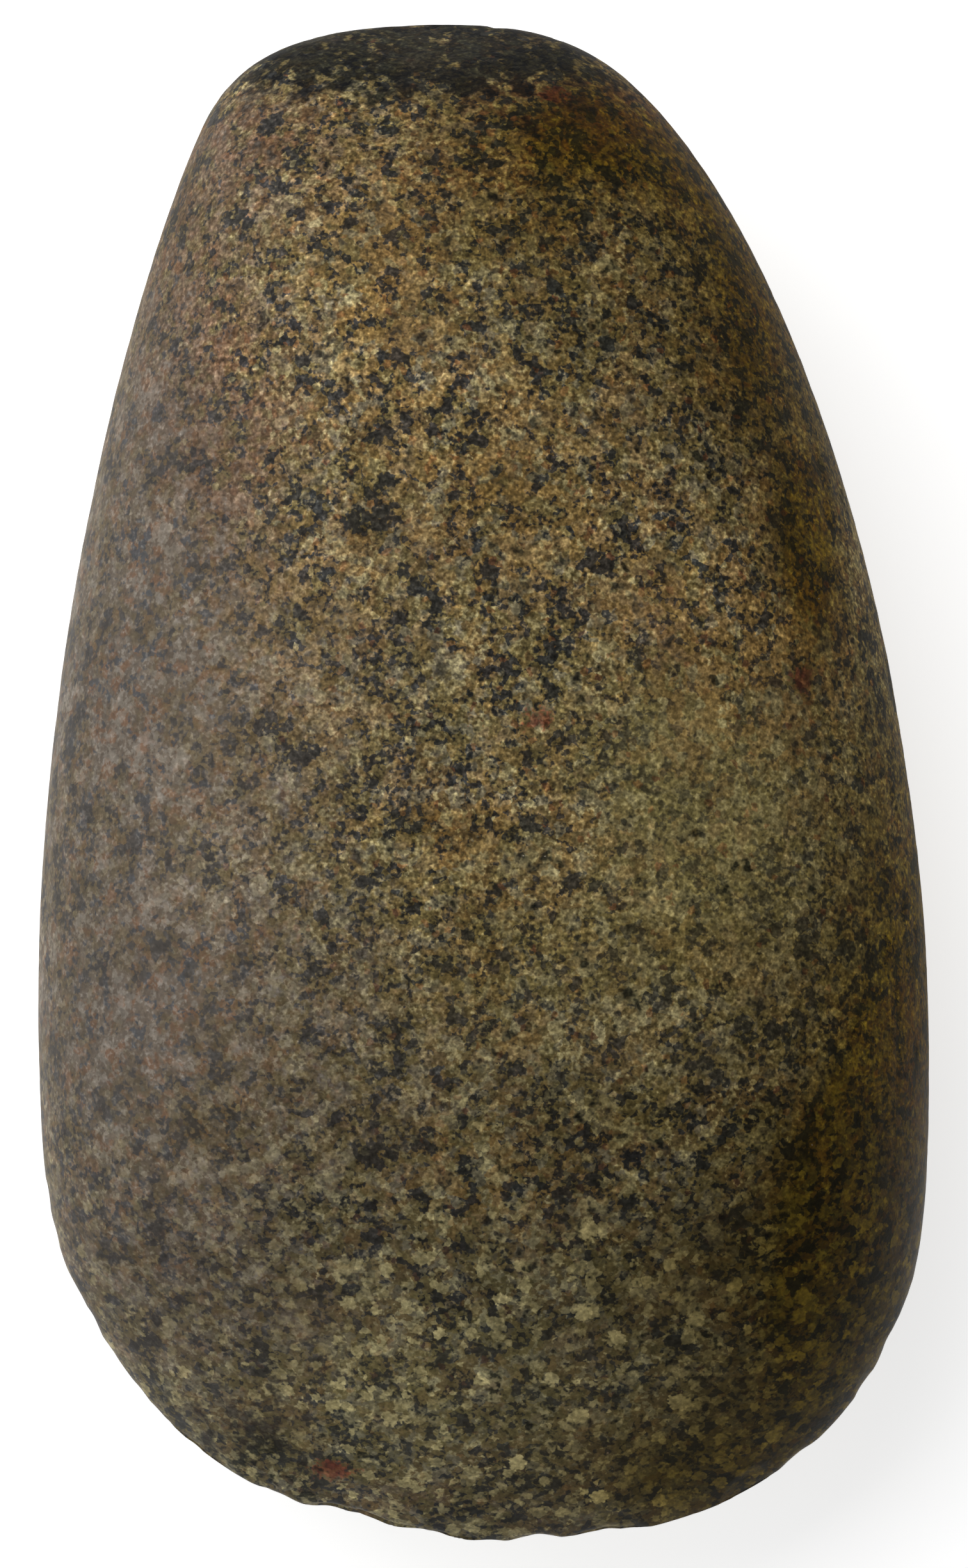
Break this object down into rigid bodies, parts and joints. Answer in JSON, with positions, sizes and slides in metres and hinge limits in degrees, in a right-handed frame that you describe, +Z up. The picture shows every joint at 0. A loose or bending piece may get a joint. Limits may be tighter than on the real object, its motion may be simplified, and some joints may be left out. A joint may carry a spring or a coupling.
{
  "type": "polished stone axe head",
  "caption": "Thick ground and polished stone axe head of oval section, with a narrow rounded butt and a broad convex cutting edge, lying on its back.",
  "frame": {"origin": "on the surface that the stone rests on, under the middle of its length and width", "axes": "+Y towards the butt, -Y towards the cutting edge, +Z up out of the front face, +X to the right seen from the front with the butt up"},
  "size_m": [0.0706, 0.12, 0.042],
  "materials": {
    "stone": "speckled brown-green granular rock, pecked and granular along the middle, satin where it is ground"
  },
  "bodies": {
    "root": {"axe_head": "stone"}
  },
  "joints": []
}
